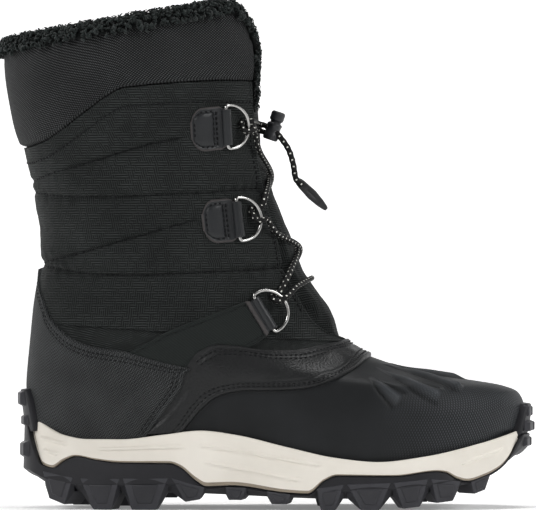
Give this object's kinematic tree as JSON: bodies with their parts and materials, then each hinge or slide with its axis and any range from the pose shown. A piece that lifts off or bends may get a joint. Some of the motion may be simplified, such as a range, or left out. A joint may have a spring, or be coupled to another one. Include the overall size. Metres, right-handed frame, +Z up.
{
  "type": "snow boot",
  "caption": "Mid-calf lace-up snow boot for the right foot, with a fur collar, D-rings, a cord lock, a cream cup sole and a cleated outsole.",
  "frame": {"origin": "centre of the boot's outline from above, at floor level under the lugs", "axes": "+X to the toe, +Y to the inner (medial) side of this right boot, +Z up the shaft"},
  "size_m": [0.2709, 0.1162, 0.2562],
  "materials": {
    "outsole_rubber": "matte, moulded",
    "midsole_foam": "matte cream foam",
    "lining": "brushed textile",
    "shell_fabric": "woven, matte",
    "coated_textile": "embossed, matte",
    "synthetic_leather": "fine grain, satin",
    "fur": "deep pile",
    "nickel": "polished plating",
    "webbing": "woven webbing",
    "lace_cord": "braided cord with pale flecks",
    "black_plastic": "moulded, satin"
  },
  "bodies": {
    "root": {"outsole": "outsole_rubber", "midsole": "midsole_foam", "insole": "lining", "upper": "shell_fabric", "heel_counter": "coated_textile", "vamp_band": "synthetic_leather", "tongue": "shell_fabric", "fur_collar": "fur", "ring_top_lateral": "nickel", "ring_middle_lateral": "nickel", "ring_ankle_lateral": "nickel", "tab_top_lateral": "synthetic_leather", "tab_middle_lateral": "synthetic_leather", "ankle_strap_lateral": "webbing", "cord_tail_lateral": "lace_cord", "ring_top_medial": "nickel", "ring_middle_medial": "nickel", "ring_ankle_medial": "nickel", "tab_top_medial": "synthetic_leather", "tab_middle_medial": "synthetic_leather", "ankle_strap_medial": "webbing", "cord_tail_medial": "lace_cord", "lace_top_run": "lace_cord", "lace_crossing_upper": "lace_cord", "lace_crossing_lower": "lace_cord", "lace_lowest_run": "lace_cord", "cord_lock": "black_plastic", "cord_lock_button": "black_plastic", "cord_end": "black_plastic"}
  },
  "joints": []
}
